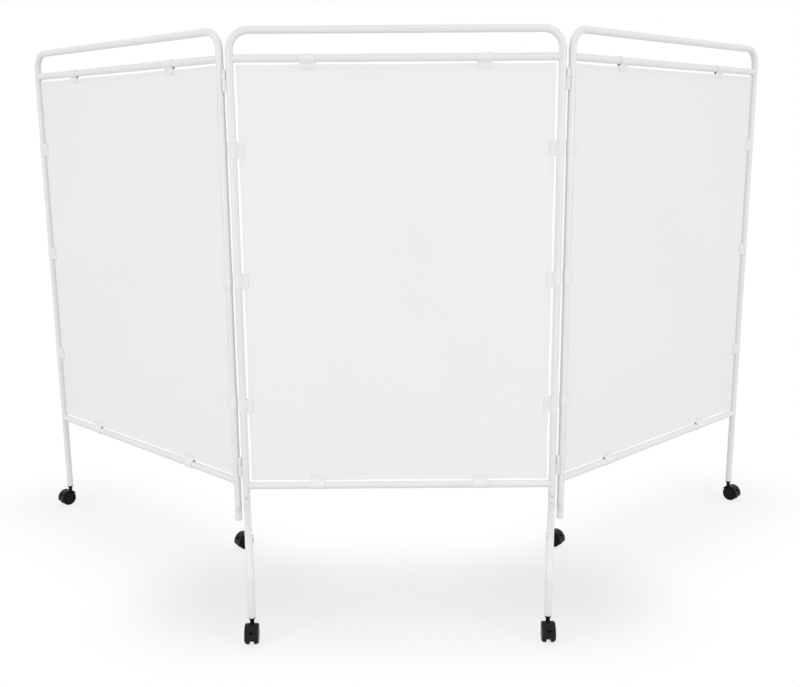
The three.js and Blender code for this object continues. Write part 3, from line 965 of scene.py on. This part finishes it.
def moulded_nylon(name, dark, light, roughness, gloss):
    """Black nylon: a fine moulded grain, faint flow marks and specks of dust."""
    finish = Finish(name, IOR=1.13, Coat_Weight=gloss, Coat_Roughness=0.12)
    place = finish.place()
    grain = finish.noise(place, 1300.0, 3.0)
    flow = finish.noise(place, 35.0, 3.0)
    dust = finish.noise(place, 160.0, 4.0) > 0.68
    colour = finish.mix(flow * 0.7 + dust * 0.3, dark, light)
    return finish.wear(colour, roughness + grain * 0.14 + dust * 0.1, grain, nylon_grain_depth)


def extruded(name, outline, half_width, bevel=0.0):
    """A plate of an outline in the XZ plane, centred on y = 0, with its edges bevelled."""
    shape = bmesh.new()
    near = [shape.verts.new((x, -half_width, z)) for x, z in outline]
    face = shape.faces.new(near)
    grown = bmesh.ops.extrude_face_region(shape, geom=[face])
    moved = [item for item in grown["geom"] if isinstance(item, bmesh.types.BMVert)]
    bmesh.ops.translate(shape, verts=moved, vec=(0, 2 * half_width, 0))
    bmesh.ops.recalc_face_normals(shape, faces=shape.faces)
    thing = link_object(name, mesh_of(name, shape))
    if bevel:
        soften = thing.modifiers.new("Edges", "BEVEL")
        soften.width = bevel
        soften.segments = 3
        soften.limit_method = "ANGLE"
    return bake_modifiers(thing)


def hood_shell():
    """The curved wall over the wheels, with its side edges rounded down."""
    outer = []
    for step in range(hood_edge_steps + 1):
        angle = math.pi / 2 * step / hood_edge_steps
        drop = (hood_outer - hood_inner) * hood_edge_share * (1 - math.sin(angle))
        outer.append((hood_outer - drop, hood_half_width - hood_round * (1 - math.cos(angle))))
    section = [(hood_inner, hood_half_width), *outer]
    section += [(radius, -across) for radius, across in reversed(section)]
    shape = bmesh.new()
    rings = []
    for step in range(hood_steps + 1):
        angle = hood_from + (hood_to - hood_from) * step / hood_steps
        ring = []
        for radius, across in section:
            spot = (caster_trail + radius * math.cos(angle), across, axle_height + radius * math.sin(angle))
            ring.append(shape.verts.new(spot))
        rings.append(ring)
    for before, after in zip(rings, rings[1:]):
        for index in range(len(section)):
            following = (index + 1) % len(section)
            shape.faces.new([before[index], before[following], after[following], after[index]])
    shape.faces.new(rings[0])
    shape.faces.new(rings[-1])
    bmesh.ops.recalc_face_normals(shape, faces=shape.faces)
    return link_object("hood_shell", mesh_of("hood_shell", shape))


def joined(name, things):
    """One mesh that holds copies of several objects' meshes, which are removed."""
    shape = bmesh.new()
    for thing in things:
        shape.from_mesh(thing.data)
        bpy.data.objects.remove(thing)
    return link_object(name, mesh_of(name, shape))


def lever_turn():
    """From a drawing along +X from the axle to the brake lever's place."""
    return Matrix.Translation((caster_trail, 0, axle_height)) @ Matrix.Rotation(-lever_angle, 4, "Y")


def flare_radius(height):
    """The radius of the cone that widens from the neck to the tube's end."""
    share = (height - tube_end_height + flare_depth) / (flare_depth - collar_lip)
    return neck_radius + (tube_radius - neck_radius) * share


def hood_mesh():
    """The shell, web, hub and neck as one moulding, with the brake lever's slot and slit cut in."""
    wall = (hood_inner + hood_outer) / 2
    web_outline = [(caster_trail, axle_height)]
    for step in range(hood_steps + 1):
        angle = hood_from + (hood_to - hood_from) * step / hood_steps
        web_outline.append((caster_trail + wall * math.cos(angle), axle_height + wall * math.sin(angle)))
    web = extruded("web", web_outline, web_half)
    hub_profile = [(0, -web_half), (hub_radius, -web_half), (hub_radius, web_half), (0, web_half)]
    hub_turn = Matrix.Translation((caster_trail, 0, axle_height)) @ Matrix.Rotation(math.pi / 2, 4, "X")
    hub = finished("hub", turned("hub", rounded(hub_profile, hood_edge_radius)), nylon, hub_turn)
    neck_top = tube_end_height - collar_height - collar_gap
    flare_bottom = tube_end_height - flare_depth
    neck_profile = [(0, neck_bottom), (neck_radius, neck_bottom), (neck_radius, flare_bottom),
                    (flare_radius(neck_top), neck_top), (0, neck_top)]
    neck = finished("neck", turned("neck", rounded(neck_profile, hood_edge_radius)), nylon)
    body = joined("hood", [hood_shell(), web, hub, neck])
    start = lever_pivot - lever_half_thickness - lever_play
    side = lever_half_thickness + lever_play
    reach = hood_outer + lever_reach
    slot = [(start, side), (reach, side), (reach, -side - lever_travel), (start, -side - lever_travel)]
    slit = [(start, 0), (reach, 0), (reach, -side - lever_slit_length), (start, -side - lever_slit_length)]
    for outline, half_width in ((slot, lever_slot_half_width), (slit, lever_slit_half_width)):
        pocket = extruded("pocket", outline, half_width)
        pocket.data.transform(lever_turn())
        cut(body, pocket)
    mesh = body.data
    bpy.data.objects.remove(body)
    return mesh


def lever_mesh():
    """A bar with a round pivot end, and the tab that a foot presses, wider and thicker than the bar."""
    half = lever_half_thickness
    bar = []
    for step in range(lever_end_steps + 1):
        angle = math.pi / 2 + math.pi * step / lever_end_steps
        bar.append((lever_pivot + half * math.cos(angle), half * math.sin(angle)))
    bar_end = hood_outer + lever_reach / 2
    bar += [(bar_end, -half), (bar_end, half)]
    tab = []
    for reach_share, thickness_share in ((0.05, -1), (0.45, -1.15), (0.8, -1.2), (1, -0.7), (1, -0.2),
                                         (0.75, 0.9), (0.45, 1.6), (0.05, 1.9)):
        tab.append((hood_outer + lever_reach * reach_share, half * thickness_share))
    lever = joined("lever", [extruded("bar", bar, lever_half_width, lever_bevel),
                             extruded("tab", tab, lever_tab_half_width, lever_bevel)])
    lever.data.transform(lever_turn())
    mesh = lever.data
    bpy.data.objects.remove(lever)
    return mesh


def wheel_mesh(side):
    """A wheel with a blind bore on its inner side and a ring groove on its outer one."""
    bore_end = wheel_width - wheel_disc_thickness
    radius = axle_height
    profile = [(0, bore_end), (wheel_bore_radius, bore_end), (wheel_bore_radius, 0), (radius, 0),
               (radius, wheel_width - shoulder_width), (radius - shoulder_drop, wheel_width),
               (groove_radius + groove_width, wheel_width),
               (groove_radius + groove_width / 2, wheel_width - groove_depth), (groove_radius, wheel_width),
               (0, wheel_width)]
    mesh = turned("wheel", rounded(profile, wheel_edge_radius), wheel_segments)
    mesh.transform(Matrix.Rotation(-side * math.pi / 2, 4, "X"))
    mesh.transform(Matrix.Translation((caster_trail, side * (web_half + web_gap), axle_height)))
    return mesh


def collar_mesh():
    """The plug in the tube's end: a flared collar outside and a plain shank inside."""
    bottom = tube_end_height - collar_height
    seat = tube_end_height - collar_gap
    profile = [(0, bottom), (flare_radius(bottom), bottom), (tube_radius, tube_end_height - collar_lip),
               (tube_radius, seat), (plug_insert_radius, seat),
               (plug_insert_radius, seat + plug_insert_length), (0, seat + plug_insert_length)]
    return turned("collar", rounded(profile, collar_edge_radius))


nylon = moulded_nylon("black_nylon", nylon_dark, nylon_light, roughness=0.2, gloss=0.2)
wheel_nylon = moulded_nylon("black_wheel_nylon", wheel_nylon_dark, wheel_nylon_light, roughness=0.3,
                            gloss=0.05)
caster_meshes = {"hood": hood_mesh(), "brake_lever": lever_mesh(), "wheel_a": wheel_mesh(-1),
                 "wheel_b": wheel_mesh(1), "plug": collar_mesh()}
for hand, side in hands:
    for corner in ("front", "rear", "wing"):
        caster = f"{hand}_{corner}_caster"
        stem = Vector(joints[f"{caster}_swivel"]["pos_m"])
        axle = Vector(joints[f"{caster}_wheel_a_spin"]["pos_m"])
        heading = math.atan2(axle.y - stem.y, axle.x - stem.x)
        stand = Matrix.Translation((stem.x, stem.y, 0)) @ Matrix.Rotation(heading, 4, "Z")
        carrier = f"{hand}_wing" if corner == "wing" else "centre"
        for part, body, material, slot in (
            ("plug", carrier, nylon, "black_plastic"),
            ("hood", caster, nylon, "black_plastic"),
            ("brake_lever", f"{caster}_brake", nylon, "black_plastic"),
            ("wheel_a", f"{caster}_wheel_a", wheel_nylon, "black_tread"),
            ("wheel_b", f"{caster}_wheel_b", wheel_nylon, "black_tread"),
        ):
            moulded = finished(f"{caster}_moulded_{part}", caster_meshes[part].copy(), material, stand)
            fit(moulded, body, slot, f"{caster}_{part}")
        for steel_part in ("stem", "axle"):
            dress(frame["nodes"][f"{caster}_{steel_part}"].data, zinc)


# Studio
# The floor's pale grey shows only in a soft-edged band along the panels at rest, as a painted shadow
# that also holds the real shadow on it, and fades into plain white. A white sky gives most of the light,
# and a lamp on each side of the camera the rest. The camera's place, turn and focal length were fitted to
# the lines of the tubes.
floor_reach = 60.0
floor_grey = 0.65
# The two painted shadow bands along the centre and the wings: how dark, how far forward, and how wide.
centre_shadow = {"strength": 0.44, "lead": 0.1, "core": 0.03, "fade": 0.5}
wing_shadow = {"strength": 0.25, "lead": -0.02, "core": 0.0, "fade": 0.43}
sky_strength = 1.0
lamp_across = 3.25
lamp_forward = 2.95
lamp_height = 1.4
lamp_aim_height = 0.8
lamp_size = 0.4
lamp_power = 29
camera_place = (3.5 * MM, centre_plane - 2874.8 * MM, 1369.7 * MM)
camera_pitch = 0.2036
camera_yaw = 0.0007
camera_roll = -0.0069
camera_focal_pixels = 983.3
photo_width_pixels = 800
sensor_width = 36.0


def floor_paint():
    """Grey paint that the camera sees as white away from the panels' lines, so it shows as a painted shadow
    band.
    """
    finish = Finish("studio_floor", Roughness=0.9, Specular_IOR_Level=0.1)
    finish.shader.inputs["Base Color"].default_value = (floor_grey, floor_grey, floor_grey, 1)
    split = finish.node("ShaderNodeSeparateXYZ", sockets={0: finish.place()}).socket.node.outputs
    hinge = joint_spot("right_wing_hinge")
    wing_end = joint_spot("right_wing_caster_swivel") - hinge
    rays = finish.node("ShaderNodeLightPath").socket.node.outputs
    seen = Wire(finish, rays["Is Camera Ray"]) + Wire(finish, rays["Is Glossy Ray"])
    seen = seen + Wire(finish, rays["Is Transmission Ray"])
    share = seen.maths("MINIMUM", seen, 1.0)
    # Near each line the white share drops, so the floor's grey shows there as a painted shadow band.
    for line, shadow in ((Vector((-hinge.x, 0, 0)), centre_shadow), (wing_end, wing_shadow)):
        along = line.normalized()
        across = abs(Wire(finish, split[0])) - hinge.x
        behind = Wire(finish, split[1]) - (hinge.y - shadow["lead"])
        reach = across * along.x + behind * along.y
        reach = reach.maths("MINIMUM", reach.maths("MAXIMUM", reach, 0.0), line.length)
        aside = across - reach * along.x
        beyond = behind - reach * along.y
        distance = (aside * aside + beyond * beyond) ** 0.5
        share = share * finish.node("ShaderNodeMapRange", {"interpolation_type": "SMOOTHSTEP"},
                                    {0: distance, 1: shadow["core"], 2: shadow["fade"],
                                     3: 1 - shadow["strength"], 4: 1.0})
    white = finish.node("ShaderNodeEmission", sockets={"Color": (1, 1, 1, 1), "Strength": 1.0})
    paint = Wire(finish, finish.shader.outputs[0])
    mixed = finish.node("ShaderNodeMixShader", sockets={0: share, 1: paint, 2: white})
    finish.feed(finish.tree.nodes["Material Output"].inputs["Surface"], mixed)
    return finish.material


def lamp(name, place, target):
    light = bpy.data.lights.new(name, "AREA")
    light.shape = "SQUARE"
    light.size = lamp_size
    light.energy = lamp_power
    thing = link_object(name, light)
    thing.location = place
    thing.rotation_euler = (target - place).to_track_quat("-Z", "Y").to_euler()


floor_shape = bmesh.new()
bmesh.ops.create_grid(floor_shape, x_segments=1, y_segments=1, size=floor_reach)
finished("studio_floor", mesh_of("studio_floor", floor_shape), floor_paint())

world = bpy.data.worlds.new("studio")
bpy.context.scene.world = world
world.use_nodes = True
sky = world.node_tree.nodes["Background"]
sky.inputs["Color"].default_value = (1, 1, 1, 1)
sky.inputs["Strength"].default_value = sky_strength

for hand, side in hands:
    lamp_place = Vector((side * lamp_across, -lamp_forward, lamp_height))
    lamp(f"{hand}_lamp", lamp_place, Vector((0, 0, lamp_aim_height)))

level_ahead = Vector((math.sin(camera_yaw), math.cos(camera_yaw), 0))
ahead = level_ahead * math.cos(camera_pitch) - Vector((0, 0, math.sin(camera_pitch)))
level_right = Vector((math.cos(camera_yaw), -math.sin(camera_yaw), 0))
level_up = level_right.cross(ahead)
right = level_right * math.cos(camera_roll) + level_up * math.sin(camera_roll)
up = level_up * math.cos(camera_roll) - level_right * math.sin(camera_roll)
camera = link_object("camera", bpy.data.cameras.new("camera"))
camera.data.sensor_width = sensor_width
camera.data.lens = camera_focal_pixels / photo_width_pixels * sensor_width
camera_turn = Matrix((right, up, -ahead)).transposed().to_4x4()
camera.matrix_world = Matrix.Translation(camera_place) @ camera_turn
bpy.context.scene.camera = camera
bpy.context.scene.view_settings.view_transform = "Standard"
